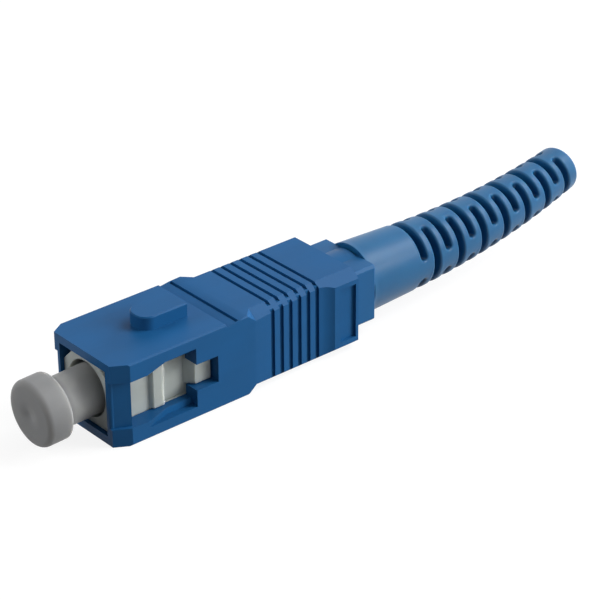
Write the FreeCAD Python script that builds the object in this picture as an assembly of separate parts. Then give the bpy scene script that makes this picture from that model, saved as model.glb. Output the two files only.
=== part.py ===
import FreeCAD, Part
import math
import os

# An SC fibre plug with its boot and dust cap, in millimetres.
# X runs along the fibre from the mating face back to the boot, Z points up
# through the key, and the origin is the centre of the sleeve's front face.

os.makedirs("parts", exist_ok=True)
V = FreeCAD.Vector
LONG = V(1, 0, 0)

# Fits between pieces
SLIDE_GAP = 0.05
SEAT_GAP = 0.02

# How far a cutter runs past the surface it opens
PAST = 1.0

# Coupling sleeve, outside
SLEEVE_LENGTH = 25.1
SLEEVE_HALF_WIDTH = 4.495
SLEEVE_HALF_HEIGHT = 3.695
SLEEVE_EDGE_BEVEL = 0.13
SLEEVE_REAR_BEVEL = 0.12
SIDE_WALL = 1.475
ROOF = 0.745
REAR_CAVITY_STEP = 0.35
REAR_CAVITY_START = 13.0

# Lead-in at the sleeve's mouth
LEAD_LENGTH = 1.38
LEAD_DEPTH = 0.82
MID_LEAD_NOSE = 0.3
MID_LEAD_REAR_DEPTH = 0.34
MID_LEAD_FRONT_DEPTH = 1.25

# Side windows, with the cams that spread the adapter's latches
WINDOW_FRONT = 1.62
WINDOW_HALF_HEIGHT = 2.1
CAM_START = 3.07
CAM_END = 5.38
CAM_DEPTH = 0.74
CAM_HALF_HEIGHT = 2.68
WINDOW_REAR = 7.9
SLOT_REAR = 10.1
SLOT_HALF_HEIGHT = 1.2

# Key on the sleeve's roof
KEY_FRONT = 5.2
KEY_REAR = 9.57
KEY_HALF_WIDTH = 1.3
KEY_HEIGHT = 1.2
KEY_NOSE_R = 0.7
KEY_EDGE = 0.1

# Step, ramp and index groove in front of the grip
STEP_X = 11.0
STEP_DEPTH = 0.27
RAMP_END = 13.13
INDEX_GROOVE_X = 12.2
INDEX_GROOVE_WIDTH = 0.3
INDEX_GROOVE_DEPTH = 0.24

# Grip: four long bevels, finger scoops in the sides, rows of ribs
GRIP_BEVEL_WIDTH = 0.96
GRIP_BEVEL_DROP = 0.76
GRIP_BEVEL_RUN = 0.93
RIB_GROOVES = 6
RIB_FIRST = 15.92
RIB_PITCH = 0.995
ROOF_GROOVE_WIDTH = 0.34
ROOF_GROOVE_DEPTH = 0.27
SIDE_GROOVE_WIDTH = 0.42
SIDE_GROOVE_DEPTH = 0.24
SCOOP_START = 13.9
SCOOP_DEPTH = 0.4
SCOOP_RISE = 1.4
SCOOP_SAG = 0.56
SCOOP_HOLLOW = 0.72
PANEL_MARGIN = 0.28
PANEL_LENGTH = 1.68
PANEL_HALF_HEIGHT = 2.5
PANEL_DEPTH = 0.28

# Plug frame
FRAME_FRONT = 0.35
FRAME_ROOF_GAP = 0.07
FRAME_TOP_BEVEL = 1.4
FRAME_LOW_BEVEL = 0.3
FRAME_SHOULDER_X = 14.85
FRAME_REAR = 19.0
MATING_BORE_R = 2.45
INNER_WALL_FRONT = 5.0
INNER_WALL_REAR = 6.0
FERRULE_HOLE_R = 1.4
SPRING_CAVITY_R = 2.35
LATCH_RIDGE_FRONT = 4.2
LATCH_RIDGE_REAR = 5.45
LATCH_RIDGE_RISE = 0.38
LATCH_RIDGE_RUN = 0.25
RIDGE_SIDE_GAP = 0.1
LATCH_RECESS_REAR = 7.8
LATCH_RECESS_DEPTH = 0.22
LUG_RISE = 0.68
LUG_RUN = 0.6
LUG_SIDE_GAP = 0.1
LUG_END_GAP = 0.16
SOCKET_WALL = 0.6
SOCKET_ROOF = 0.58
SNAP_FRONT = 17.6
SNAP_LENGTH = 0.8
SNAP_HALF_HEIGHT = 0.85
SNAP_HEIGHT = 0.4
SNAP_GAP = 0.06
KEY_LUG_WIDTH = 0.5
KEY_LUG_LENGTH = 0.8

# Rear body
SPIGOT_FRONT = 17.1
BLOCK_PROUD = 2.98
BLOCK_SIDE_GAP = 0.09
BLOCK_ROOF_GAP = 0.3
BLOCK_BEVEL = 0.24
BLOCK_CORNER_R = 0.14
COLLAR_GAP = 0.07
COLLAR_SETBACK = 0.2

# Ferrule, flange and the liner in its tail
FERRULE_R = 1.2495
FERRULE_TIP = -1.0
FERRULE_LENGTH = 10.5
FERRULE_TIP_CHAMFER = 0.35
FIBRE_HOLE_R = 0.0625
FUNNEL_R = 0.45
FUNNEL_LENGTH = 1.0
FLANGE_R = 2.25
FLANGE_LENGTH = 1.6
FLANGE_SLOT_WIDTH = 0.62
FLANGE_SLOT_DEPTH = 0.45
CUP_R = 1.6
CUP_REAR = 10.0
TAIL_R = 1.0
TAIL_REAR = 18.5
TAIL_BORE_R = 0.6
GUIDE_HOLE_R = 0.3
GUIDE_FRONT_GAP = 0.1
GUIDE_REAR_GAP = 0.3

# Spring
SPRING_WIRE = 0.5
SPRING_TURNS = 5
WIRE_FLATS = 6

# Stop ring and crimp sleeve
STOP_FLANGE_LENGTH = 1.0
STOP_BODY_R = 2.05
BARREL_SUNK = 3.88
BARREL_R = 1.72
BARREL_PROUD = 4.32
BARREL_RINGS = 2
BARREL_RING_DEPTH = 0.12
BARREL_RING_WIDTH = 0.4
CRIMP_SUNK = 3.48
CRIMP_PROUD = 4.92
CRIMP_OUTER_R = 2.2
CRIMP_SPACE = 0.06

# Boot: a straight tapered root, then a slotted length with a slight set
BOOT_ROOT_R = 3.27
BOOT_LENGTH = 27.35
BOOT_BEND_DEG = 11.7
BOOT_BEND_ROLL_DEG = 54.0
CABLE_BORE_R = 1.05
TAIL_WALL = 1.08
TAIL_EDGE = 0.24
TAIL_RING = 1.37
BOOT_FLATS = 24
BORE_FLATS = 12
SLOT_ROWS = 14
SLOT_FIRST = 6.12
SLOT_WIDTH = 0.84
SLOT_HALF_ANGLE_DEG = 72.0
WEB_FLARE = 0.18
WEB_ROOT = 0.08
WEB_INSET = 0.03

# Dust cap
CAP_HEAD_FRONT = -5.25
CAP_HEAD_REAR = -2.95
CAP_HEAD_R = 2.855
CAP_FRONT_EDGE = 0.53
CAP_REAR_EDGE = 0.12
EDGE_STEPS = 3
CAP_NECK_R = 2.12
CAP_NECK_REAR = 3.6
CAP_TIP_ROOM = 0.9
CAP_MOUTH_CHAMFER = 0.2
CAP_DROOP_DEG = 2.0

# Worked-out places that more than one piece shares
cavity_half_width = SLEEVE_HALF_WIDTH - SIDE_WALL
cavity_half_height = SLEEVE_HALF_HEIGHT - ROOF
frame_half_width = cavity_half_width - SLIDE_GAP
rear_cavity_half_width = cavity_half_width + REAR_CAVITY_STEP
frame_rear_half_width = rear_cavity_half_width - SLIDE_GAP - SEAT_GAP
frame_half_height = cavity_half_height - FRAME_ROOF_GAP
socket_half_width = frame_rear_half_width - SOCKET_WALL
socket_half_height = frame_half_height - SOCKET_ROOF
block_half_width = rear_cavity_half_width - BLOCK_SIDE_GAP
block_half_height = cavity_half_height - BLOCK_ROOF_GAP
collar_r = cavity_half_height - COLLAR_GAP
block_rear = SLEEVE_LENGTH + BLOCK_PROUD
barrel_front = block_rear - BARREL_SUNK
barrel_rear = block_rear + BARREL_PROUD
crimp_front = block_rear - CRIMP_SUNK
crimp_rear = block_rear + CRIMP_PROUD
stop_ring_front = SPIGOT_FRONT - STOP_FLANGE_LENGTH
flange_rear = INNER_WALL_REAR + FLANGE_LENGTH
ferrule_rear = FERRULE_TIP + FERRULE_LENGTH
grip_full_x = RAMP_END + GRIP_BEVEL_RUN
crimp_inner_r = BARREL_R + CRIMP_SPACE
scoop_deep_x = RIB_FIRST + (RIB_GROOVES - 1) * RIB_PITCH + SIDE_GROOVE_WIDTH / 2
boot_straight = SLOT_FIRST - SLOT_WIDTH / 2
slot_pitch = (BOOT_LENGTH - TAIL_RING - SLOT_WIDTH / 2 - SLOT_FIRST) / (SLOT_ROWS - 1)
cap_bore_r = FERRULE_R + SEAT_GAP + (CAP_NECK_REAR - FERRULE_TIP) * math.tan(math.radians(CAP_DROOP_DEG))


def box(x0, x1, y0, y1, z0, z1):
    """A block between two corners."""
    return Part.makeBox(x1 - x0, y1 - y0, z1 - z0, V(x0, y0, z0))


def rod(x0, x1, r):
    """A round bar on the fibre's axis."""
    return Part.makeCylinder(r, x1 - x0, V(x0, 0, 0), LONG)


def tube(x0, x1, r_out, r_in):
    """A round bar with a hole right through."""
    return rod(x0, x1, r_out).cut(rod(x0 - PAST, x1 + PAST, r_in))


def bar(x0, x1, half_width, half_height, top_bevel, low_bevel):
    """A rectangular bar along X with bevelled long edges."""
    w, h, t, b = half_width, half_height, top_bevel, low_bevel
    outline = [(w, h - t), (w - t, h), (t - w, h), (-w, h - t),
               (-w, b - h), (b - w, -h), (w - b, -h), (w, b - h)]
    points = [V(x0, y, z) for y, z in outline]
    face = Part.Face(Part.makePolygon(points + points[:1]))
    return face.extrude(V(x1 - x0, 0, 0))


def plan_prism(edges_or_points, half_height):
    """A shape drawn in plan (X, Y), standing from -half_height to +half_height."""
    if isinstance(edges_or_points[0], tuple):
        points = [V(x, y, -half_height) for x, y in edges_or_points]
        wire = Part.makePolygon(points + points[:1])
    else:
        wire = Part.Wire(Part.__sortEdges__(edges_or_points))
        wire.translate(V(0, 0, -half_height))
    return Part.Face(wire).extrude(V(0, 0, 2 * half_height))


def both_sides(shape):
    """A shape on the +Y side and its mirror image on the -Y side."""
    return [shape, shape.mirror(V(0, 0, 0), V(0, 1, 0))]


def turned(points):
    """A solid of revolution about the fibre's axis, from a closed outline of (x, radius) points."""
    outline = [V(x, r, 0) for x, r in points]
    face = Part.Face(Part.makePolygon(outline + outline[:1]))
    return face.revolve(V(0, 0, 0), LONG, 360)


def rounded_corner(x, r, radius, first_deg, last_deg):
    """Points along a quarter round about (x, r), for an outline that is turned."""
    turns = [math.radians(first_deg + (last_deg - first_deg) * i / EDGE_STEPS) for i in range(EDGE_STEPS + 1)]
    return [(x + radius * math.cos(turn), r + radius * math.sin(turn)) for turn in turns]


def grip_bevel_cutter(side, up):
    """Cuts one long edge of the grip, with the three-cornered facet where the bevel runs in."""
    inward = V(0, -side * GRIP_BEVEL_WIDTH, 0)
    across = inward + V(0, 0, up * GRIP_BEVEL_DROP)
    corner = V(0, side * SLEEVE_HALF_WIDTH, up * SLEEVE_HALF_HEIGHT)
    outline = [(RAMP_END - GRIP_BEVEL_RUN, -1), (grip_full_x, 1),
               (SLEEVE_LENGTH + PAST, 1), (SLEEVE_LENGTH + PAST, -1)]
    points = [corner + V(x, 0, 0) + inward * share - across * 2 for x, share in outline]
    face = Part.Face(Part.makePolygon(points + points[:1]))
    return face.extrude(across * 4)


def lead_in_cutters():
    """The plan bevels at the mouth, and the deeper, round-nosed band that meets each latch."""
    w, h = SLEEVE_HALF_WIDTH, SLEEVE_HALF_HEIGHT + PAST
    full = plan_prism([(-PAST, w + PAST), (-PAST, w - LEAD_DEPTH - LEAD_DEPTH * PAST / LEAD_LENGTH),
                       (LEAD_LENGTH, w), (LEAD_LENGTH, w + PAST)], h)
    nose_y = w - MID_LEAD_FRONT_DEPTH
    rear_y = w - MID_LEAD_REAR_DEPTH
    rear_x = WINDOW_FRONT + SLIDE_GAP
    nose_end = V(MID_LEAD_NOSE, nose_y + MID_LEAD_NOSE, 0)
    turn = math.radians(45)
    nose_mid = V(MID_LEAD_NOSE * (1 - math.cos(turn)), nose_y + MID_LEAD_NOSE * math.sin(turn), 0)
    corners = [nose_end, V(rear_x, rear_y, 0), V(rear_x, w + PAST, 0), V(-PAST, w + PAST, 0),
               V(-PAST, nose_y, 0), V(0, nose_y, 0)]
    edges = [Part.LineSegment(p, q).toShape() for p, q in zip(corners, corners[1:])]
    edges.append(Part.Arc(corners[-1], nose_mid, nose_end).toShape())
    return both_sides(full) + both_sides(plan_prism(edges, WINDOW_HALF_HEIGHT))


def window_cutters():
    """Each side window: a latch opening, two sloping cams beside it and a slot for the frame's lug."""
    w = SLEEVE_HALF_WIDTH
    inner = cavity_half_width - PAST / 2
    opening = box(WINDOW_FRONT, WINDOW_REAR, inner, w + PAST, -WINDOW_HALF_HEIGHT, WINDOW_HALF_HEIGHT)
    slot = box(WINDOW_REAR - SLIDE_GAP, SLOT_REAR, inner, w + PAST, -SLOT_HALF_HEIGHT, SLOT_HALF_HEIGHT)
    floor = w - CAM_DEPTH
    cams = plan_prism([(CAM_START, w + PAST), (CAM_START, w), (CAM_END, floor),
                       (WINDOW_REAR, floor), (WINDOW_REAR, w + PAST)], CAM_HALF_HEIGHT)
    return both_sides(opening.fuse([slot, cams]))


def scoop_cutters():
    """Finger scoop in each side: a long shallow curve that ends in a hollow rise to the rear pad."""
    w = SLEEVE_HALF_WIDTH
    a, b = V(SCOOP_START, w, 0), V(scoop_deep_x, w - SCOOP_DEPTH, 0)
    c = V(scoop_deep_x + SCOOP_RISE, w, 0)
    sag = V((a.x + b.x) / 2, w - SCOOP_DEPTH * SCOOP_SAG, 0)
    rise = V((b.x + c.x) / 2, w - SCOOP_DEPTH * SCOOP_HOLLOW, 0)
    d, e = V(c.x, w + PAST, 0), V(a.x, w + PAST, 0)
    edges = [Part.Arc(a, sag, b).toShape(), Part.Arc(b, rise, c).toShape()]
    edges += [Part.LineSegment(p, q).toShape() for p, q in [(c, d), (d, e), (e, a)]]
    return both_sides(plan_prism(edges, SLEEVE_HALF_HEIGHT + PAST))


def rib_cutters():
    """The grooves that leave rows of ribs on the roof, the floor and both sides of the grip."""
    cutters = []
    w, h = SLEEVE_HALF_WIDTH, SLEEVE_HALF_HEIGHT
    for i in range(RIB_GROOVES):
        x = RIB_FIRST + i * RIB_PITCH
        x0, x1 = x - ROOF_GROOVE_WIDTH / 2, x + ROOF_GROOVE_WIDTH / 2
        cutters.append(box(x0, x1, -w, w, h - ROOF_GROOVE_DEPTH, h + PAST))
        cutters.append(box(x0, x1, -w, w, -h - PAST, ROOF_GROOVE_DEPTH - h))
        along = (x - SCOOP_START) / (scoop_deep_x - SCOOP_START)
        bed = w - SCOOP_DEPTH * along - SIDE_GROOVE_DEPTH
        x0, x1 = x - SIDE_GROOVE_WIDTH / 2, x + SIDE_GROOVE_WIDTH / 2
        cutters += both_sides(box(x0, x1, bed, w + PAST, -h, h))
    return cutters


def step_and_ramp_cutter():
    """A shallow step down in the roof, with a ramp back up to the grip."""
    w, h = SLEEVE_HALF_WIDTH + PAST, SLEEVE_HALF_HEIGHT
    outline = [(STEP_X, h + PAST), (STEP_X, h), (STEP_X + STEP_DEPTH / 2, h - STEP_DEPTH),
               (RAMP_END, h), (RAMP_END, h + PAST)]
    points = [V(x, -w, z) for x, z in outline]
    return Part.Face(Part.makePolygon(points + points[:1])).extrude(V(0, 2 * w, 0))


def index_groove_cutter():
    """A narrow groove across the ramp."""
    along = (INDEX_GROOVE_X - STEP_X) / (RAMP_END - STEP_X)
    bed = SLEEVE_HALF_HEIGHT - STEP_DEPTH * (1 - along) - INDEX_GROOVE_DEPTH
    half = INDEX_GROOVE_WIDTH / 2
    w = SLEEVE_HALF_WIDTH - SLEEVE_EDGE_BEVEL
    return box(INDEX_GROOVE_X - half, INDEX_GROOVE_X + half, -w, w, bed, SLEEVE_HALF_HEIGHT + PAST)


def key():
    """The polarising key: a low bar with its front corners rounded in plan."""
    z0 = SLEEVE_HALF_HEIGHT - ROOF / 2
    z1 = SLEEVE_HALF_HEIGHT + KEY_HEIGHT
    solid = box(KEY_FRONT, KEY_REAR, -KEY_HALF_WIDTH, KEY_HALF_WIDTH, z0, z1)
    corners = [e for e in solid.Edges if e.BoundBox.XMax < KEY_FRONT + SEAT_GAP
               and e.BoundBox.ZLength > KEY_HEIGHT]
    solid = solid.makeFillet(min(KEY_NOSE_R, KEY_HALF_WIDTH - KEY_EDGE), corners)
    top = [e for e in solid.Edges if e.BoundBox.ZMin > z1 - SEAT_GAP]
    return solid.makeChamfer(KEY_EDGE, top)


def rear_edge_cutters():
    """Small bevels on the rear edges of the sleeve's roof and floor."""
    w, h, x = SLEEVE_HALF_WIDTH + PAST, SLEEVE_HALF_HEIGHT, SLEEVE_LENGTH
    outline = [(x - SLEEVE_REAR_BEVEL, h), (x, h - SLEEVE_REAR_BEVEL),
               (x + PAST, h - SLEEVE_REAR_BEVEL), (x + PAST, h + PAST), (x - SLEEVE_REAR_BEVEL, h + PAST)]
    points = [V(px, -w, pz) for px, pz in outline]
    roof = Part.Face(Part.makePolygon(points + points[:1])).extrude(V(0, 2 * w, 0))
    return [roof, roof.mirror(V(0, 0, 0), V(0, 0, 1))]


def coupling_sleeve():
    """The outer housing that is pushed and pulled: most of the plug's outside."""
    w, h = SLEEVE_HALF_WIDTH, SLEEVE_HALF_HEIGHT
    solid = bar(0, SLEEVE_LENGTH, w, h, SLEEVE_EDGE_BEVEL, SLEEVE_EDGE_BEVEL)
    outside = [grip_bevel_cutter(side, up) for side in (1, -1) for up in (1, -1)]
    outside += lead_in_cutters() + scoop_cutters() + rear_edge_cutters()
    outside += [step_and_ramp_cutter(), index_groove_cutter()]
    solid = solid.cut(outside)
    solid = solid.cut(rib_cutters())
    panel_rear = SLEEVE_LENGTH - PANEL_MARGIN
    panel = box(panel_rear - PANEL_LENGTH, panel_rear, w - PANEL_DEPTH, w + PAST,
                -PANEL_HALF_HEIGHT, PANEL_HALF_HEIGHT)
    solid = solid.cut(both_sides(panel))
    solid = solid.fuse(key())
    front = box(-PAST, SLEEVE_LENGTH + PAST, -cavity_half_width, cavity_half_width,
                -cavity_half_height, cavity_half_height)
    rear = box(REAR_CAVITY_START, SLEEVE_LENGTH + PAST, -rear_cavity_half_width, rear_cavity_half_width,
               -cavity_half_height, cavity_half_height)
    return solid.cut([front, rear] + window_cutters())


def latch_rails():
    """On each side of the frame: the ridge that an adapter's latch rides over, and the rear lug."""
    w = frame_half_width
    sunk = w - LATCH_RECESS_DEPTH
    root = sunk - SEAT_GAP
    ridge = plan_prism([(LATCH_RIDGE_FRONT, root), (LATCH_RIDGE_FRONT, w),
                        (LATCH_RIDGE_FRONT + LATCH_RIDGE_RUN, w + LATCH_RIDGE_RISE),
                        (LATCH_RIDGE_REAR, w + LATCH_RIDGE_RISE), (LATCH_RIDGE_REAR, root)],
                       WINDOW_HALF_HEIGHT - RIDGE_SIDE_GAP)
    lug_rear = SLOT_REAR - LUG_END_GAP
    lug = plan_prism([(LATCH_RECESS_REAR - SEAT_GAP, root), (LATCH_RECESS_REAR - SEAT_GAP, sunk),
                      (LATCH_RECESS_REAR + LUG_RUN, w + LUG_RISE),
                      (lug_rear, w + LUG_RISE), (lug_rear, root)],
                     SLOT_HALF_HEIGHT - LUG_SIDE_GAP)
    return both_sides(ridge) + both_sides(lug)


def plug_frame():
    """The inner moulded frame that carries the ferrule and takes the adapter's latches."""
    w, h = frame_half_width, frame_half_height
    solid = bar(FRAME_FRONT, FRAME_SHOULDER_X + SLIDE_GAP, w, h, FRAME_TOP_BEVEL, FRAME_LOW_BEVEL)
    rear = bar(FRAME_SHOULDER_X, FRAME_REAR, frame_rear_half_width, h, FRAME_LOW_BEVEL, FRAME_LOW_BEVEL)
    recess = plan_prism([(LATCH_RIDGE_REAR, w + PAST), (LATCH_RIDGE_REAR, w - LATCH_RECESS_DEPTH),
                         (LATCH_RECESS_REAR, w - LATCH_RECESS_DEPTH),
                         (LATCH_RECESS_REAR + LUG_RUN, w), (LATCH_RECESS_REAR + LUG_RUN, w + PAST)],
                        WINDOW_HALF_HEIGHT)
    solid = solid.cut(both_sides(recess)).fuse([rear] + latch_rails())
    mouth = rod(FRAME_FRONT - PAST, INNER_WALL_FRONT, MATING_BORE_R)
    hole = rod(INNER_WALL_FRONT - PAST, INNER_WALL_REAR + PAST, FERRULE_HOLE_R)
    cavity = rod(INNER_WALL_REAR, SPIGOT_FRONT, SPRING_CAVITY_R)
    socket = box(SPIGOT_FRONT, FRAME_REAR + PAST, -socket_half_width, socket_half_width,
                 -socket_half_height, socket_half_height)
    barrel_way = rod(SPIGOT_FRONT, FRAME_REAR + PAST, STOP_BODY_R + SLIDE_GAP)
    window_half = SNAP_HALF_HEIGHT + SNAP_GAP
    snaps = box(SNAP_FRONT - SNAP_GAP, SNAP_FRONT + SNAP_LENGTH + SNAP_GAP,
                -frame_rear_half_width - PAST, frame_rear_half_width + PAST, -window_half, window_half)
    solid = solid.cut([mouth, hole, cavity, socket, barrel_way, snaps])
    inner = FLANGE_R - FLANGE_SLOT_DEPTH + SLIDE_GAP
    outer = SPRING_CAVITY_R + SEAT_GAP
    lug = box(INNER_WALL_REAR - SEAT_GAP, INNER_WALL_REAR + KEY_LUG_LENGTH,
              -KEY_LUG_WIDTH / 2, KEY_LUG_WIDTH / 2, inner, outer)
    return solid.fuse([lug, lug.mirror(V(0, 0, 0), V(0, 0, 1))])


def rear_body():
    """The block that closes the frame: a snap-in spigot, a square block and a round collar."""
    side = socket_half_width - SLIDE_GAP
    spigot = bar(SPIGOT_FRONT, FRAME_REAR + SEAT_GAP, side, socket_half_height - SLIDE_GAP,
                 FRAME_LOW_BEVEL, FRAME_LOW_BEVEL)
    block = bar(FRAME_REAR, block_rear, block_half_width, block_half_height, BLOCK_BEVEL, BLOCK_BEVEL)
    upright = 2 * (block_half_height - BLOCK_BEVEL) - SEAT_GAP
    back_corners = [e for e in block.Edges if e.BoundBox.ZLength > upright
                    and e.BoundBox.XMin > block_rear - SEAT_GAP and e.BoundBox.YLength < SEAT_GAP]
    block = block.makeFillet(BLOCK_CORNER_R, back_corners)
    collar = rod(FRAME_REAR, block_rear - COLLAR_SETBACK, collar_r)
    snap = plan_prism([(SNAP_FRONT, side - SNAP_HEIGHT), (SNAP_FRONT, side),
                       (SNAP_FRONT + SNAP_LENGTH, side + SNAP_HEIGHT),
                       (SNAP_FRONT + SNAP_LENGTH, side - SNAP_HEIGHT)], SNAP_HALF_HEIGHT)
    solid = spigot.fuse([block, collar] + both_sides(snap))
    bore = rod(SPIGOT_FRONT - PAST, barrel_front + SLIDE_GAP, STOP_BODY_R + SLIDE_GAP)
    crimp_room = rod(barrel_front + SLIDE_GAP, block_rear + PAST, CRIMP_OUTER_R + SLIDE_GAP)
    return solid.cut([bore, crimp_room])


def ferrule():
    """The ceramic ferrule: a ground pin with its fibre hole and rear funnel."""
    c, r, f = FERRULE_TIP_CHAMFER, FERRULE_R, FIBRE_HOLE_R
    x0, x1 = FERRULE_TIP, ferrule_rear
    return turned([(x0, f), (x0, r - c), (x0 + c, r), (x1, r), (x1, FUNNEL_R), (x1 - FUNNEL_LENGTH, f)])


def ferrule_flange():
    """The flange pressed on the ferrule: a slotted collar, a cup and a tail tube."""
    x0 = INNER_WALL_REAR + SEAT_GAP
    solid = rod(x0, flange_rear, FLANGE_R).fuse([rod(flange_rear, CUP_REAR, CUP_R),
                                                  rod(CUP_REAR, TAIL_REAR, TAIL_R)])
    holes = [rod(x0 - PAST, ferrule_rear, FERRULE_R), rod(ferrule_rear, TAIL_REAR + PAST, TAIL_BORE_R)]
    for turn in range(4):
        slot = box(x0 - PAST, flange_rear, -FLANGE_SLOT_WIDTH / 2, FLANGE_SLOT_WIDTH / 2,
                   FLANGE_R - FLANGE_SLOT_DEPTH, FLANGE_R + PAST)
        slot.rotate(V(0, 0, 0), LONG, 90 * turn)
        holes.append(slot)
    return solid.cut(holes)


def fibre_guide_tube():
    """The liner in the flange's tail that leads the fibre in."""
    return tube(ferrule_rear + GUIDE_FRONT_GAP, TAIL_REAR - GUIDE_REAR_GAP,
                TAIL_BORE_R - SEAT_GAP, GUIDE_HOLE_R)


def spring():
    """The compression spring between the flange and the stop ring, its wire drawn with a few flats."""
    wire_r = SPRING_WIRE / 2
    x0 = flange_rear + wire_r + SEAT_GAP
    x1 = stop_ring_front - wire_r - SEAT_GAP
    coil_r = (CUP_R + SPRING_CAVITY_R) / 2
    path = Part.makeHelix((x1 - x0) / SPRING_TURNS, x1 - x0, coil_r)
    turns = [2 * math.pi * i / WIRE_FLATS for i in range(WIRE_FLATS)]
    corners = [V(coil_r + wire_r * math.cos(t), 0, wire_r * math.sin(t)) for t in turns]
    ring = Part.makePolygon(corners + corners[:1])
    coil = Part.Wire(path).makePipeShell([ring], True, True)
    coil.rotate(V(0, 0, 0), V(0, 1, 0), 90)
    coil.translate(V(x0, 0, 0))
    return coil


def stop_ring():
    """The metal ring behind the spring, with the grooved barrel that takes the crimp."""
    flange = rod(stop_ring_front, SPIGOT_FRONT, SPRING_CAVITY_R - SLIDE_GAP)
    solid = flange.fuse([rod(SPIGOT_FRONT, barrel_front, STOP_BODY_R),
                         rod(barrel_front, barrel_rear, BARREL_R)])
    cutters = [rod(stop_ring_front - PAST, barrel_rear + PAST, TAIL_R + SLIDE_GAP + SEAT_GAP)]
    pitch = (barrel_rear - block_rear) / BARREL_RINGS
    for i in range(BARREL_RINGS):
        x = block_rear + (i + 0.5) * pitch
        cutters.append(tube(x - BARREL_RING_WIDTH / 2, x + BARREL_RING_WIDTH / 2,
                            BARREL_R + PAST, BARREL_R - BARREL_RING_DEPTH))
    return solid.cut(cutters)


def crimp_sleeve():
    """The sleeve crimped on the barrel."""
    return tube(crimp_front, crimp_rear, CRIMP_OUTER_R, crimp_inner_r)


def boot_station(along):
    """Place on the boot's centre line: a placement whose X axis runs along it."""
    angle_span = math.radians(BOOT_BEND_DEG)
    bend_length = BOOT_LENGTH - boot_straight
    past = max(0.0, along - boot_straight)
    angle = angle_span * past / bend_length
    radius = bend_length / angle_span
    roll = math.radians(BOOT_BEND_ROLL_DEG)
    side = V(0, math.sin(roll), math.cos(roll))
    forward = min(along, boot_straight) + radius * math.sin(angle)
    place = V(block_rear + forward, 0, 0) + side * (radius * (1 - math.cos(angle)))
    hinge = LONG.cross(side)
    return FreeCAD.Placement(place, FreeCAD.Rotation(hinge, math.degrees(angle)))


def boot_radius(along):
    """The boot tapers evenly from root to tail."""
    tail_r = CABLE_BORE_R + TAIL_WALL
    return BOOT_ROOT_R + (tail_r - BOOT_ROOT_R) * along / BOOT_LENGTH


def flats_round(x, r, sides):
    """A regular outline round the fibre's axis, with its corners at the given radius."""
    turns = [2 * math.pi * i / sides for i in range(sides)]
    points = [V(x, r * math.cos(turn), r * math.sin(turn)) for turn in turns]
    return Part.makePolygon(points + points[:1])


def bore_prism(x0, x1):
    """The cable's way through the boot, its flats touching the bore's radius."""
    outline = flats_round(x0, CABLE_BORE_R / math.cos(math.pi / BORE_FLATS), BORE_FLATS)
    return Part.Face(outline).extrude(V(x1 - x0, 0, 0))


def boot_ring(first, last):
    """One closed ring of the boot, a short hollow taper square to the centre line at its middle."""
    half = (last - first) / 2
    sections = [flats_round(-half, boot_radius(first), BOOT_FLATS),
                flats_round(half, boot_radius(last), BOOT_FLATS)]
    ring = Part.makeLoft(sections, True, True).cut(bore_prism(-half - PAST, half + PAST))
    ring.Placement = boot_station(first + half)
    return ring


def boot_root():
    """The boot's straight root, bored wide for the crimp sleeve."""
    root = boot_ring(0, boot_straight)
    return root.cut(rod(block_rear - PAST, crimp_rear + SLIDE_GAP, CRIMP_OUTER_R + SLIDE_GAP))


def boot_tail(first):
    """The last ring, round inside and out, with its outer edge taken off."""
    half = (BOOT_LENGTH - first) / 2
    cone = Part.makeCone(boot_radius(first), CABLE_BORE_R + TAIL_WALL, 2 * half, V(-half, 0, 0), LONG)
    end_edge = max(cone.Edges, key=lambda e: e.CenterOfMass.x)
    tail = cone.makeChamfer(TAIL_EDGE, [end_edge]).cut(rod(-half - PAST, half + PAST, CABLE_BORE_R))
    tail.Placement = boot_station(first + half)
    return tail


def boot_web(row, quarter):
    """One of the two webs in a row, which flares where it meets the ring on each side of the slots."""
    along = SLOT_FIRST + row * slot_pitch
    r = boot_radius(along) * math.cos(math.pi / BOOT_FLATS) - WEB_INSET
    half = boot_radius(along) * math.cos(math.radians(SLOT_HALF_ANGLE_DEG))
    x0, x1 = SLOT_WIDTH / 2 + WEB_ROOT, SLOT_WIDTH / 2 - WEB_FLARE
    wide = half + WEB_FLARE
    outline = [(-x0, wide), (WEB_ROOT - x0, wide), (-x1, half), (x1, half), (x0 - WEB_ROOT, wide), (x0, wide)]
    outline += [(x, -y) for x, y in reversed(outline)]
    points = [V(x, y, CABLE_BORE_R + WEB_INSET) for x, y in outline]
    web = Part.Face(Part.makePolygon(points + points[:1])).extrude(V(0, 0, BOOT_ROOT_R))
    web = web.common(rod(-x0 - PAST, x0 + PAST, r))
    web.rotate(V(0, 0, 0), LONG, 90 * ((row + 1) % 2) + 180 * quarter)
    web.Placement = boot_station(along).multiply(web.Placement)
    return web


def boot():
    """The flexible bend relief: a tapered root, then rings joined by webs that take turns.

    The slots between the rings are above and below in one row, left and right in the next.
    """
    half = SLOT_WIDTH / 2
    rows = [SLOT_FIRST + row * slot_pitch for row in range(SLOT_ROWS)]
    rings = [boot_ring(row + half, row + slot_pitch - half) for row in rows[:-1]]
    webs = [boot_web(row, quarter) for row in range(SLOT_ROWS) for quarter in (0, 1)]
    return boot_root().fuse(rings + webs + [boot_tail(rows[-1] + half)])


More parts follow.
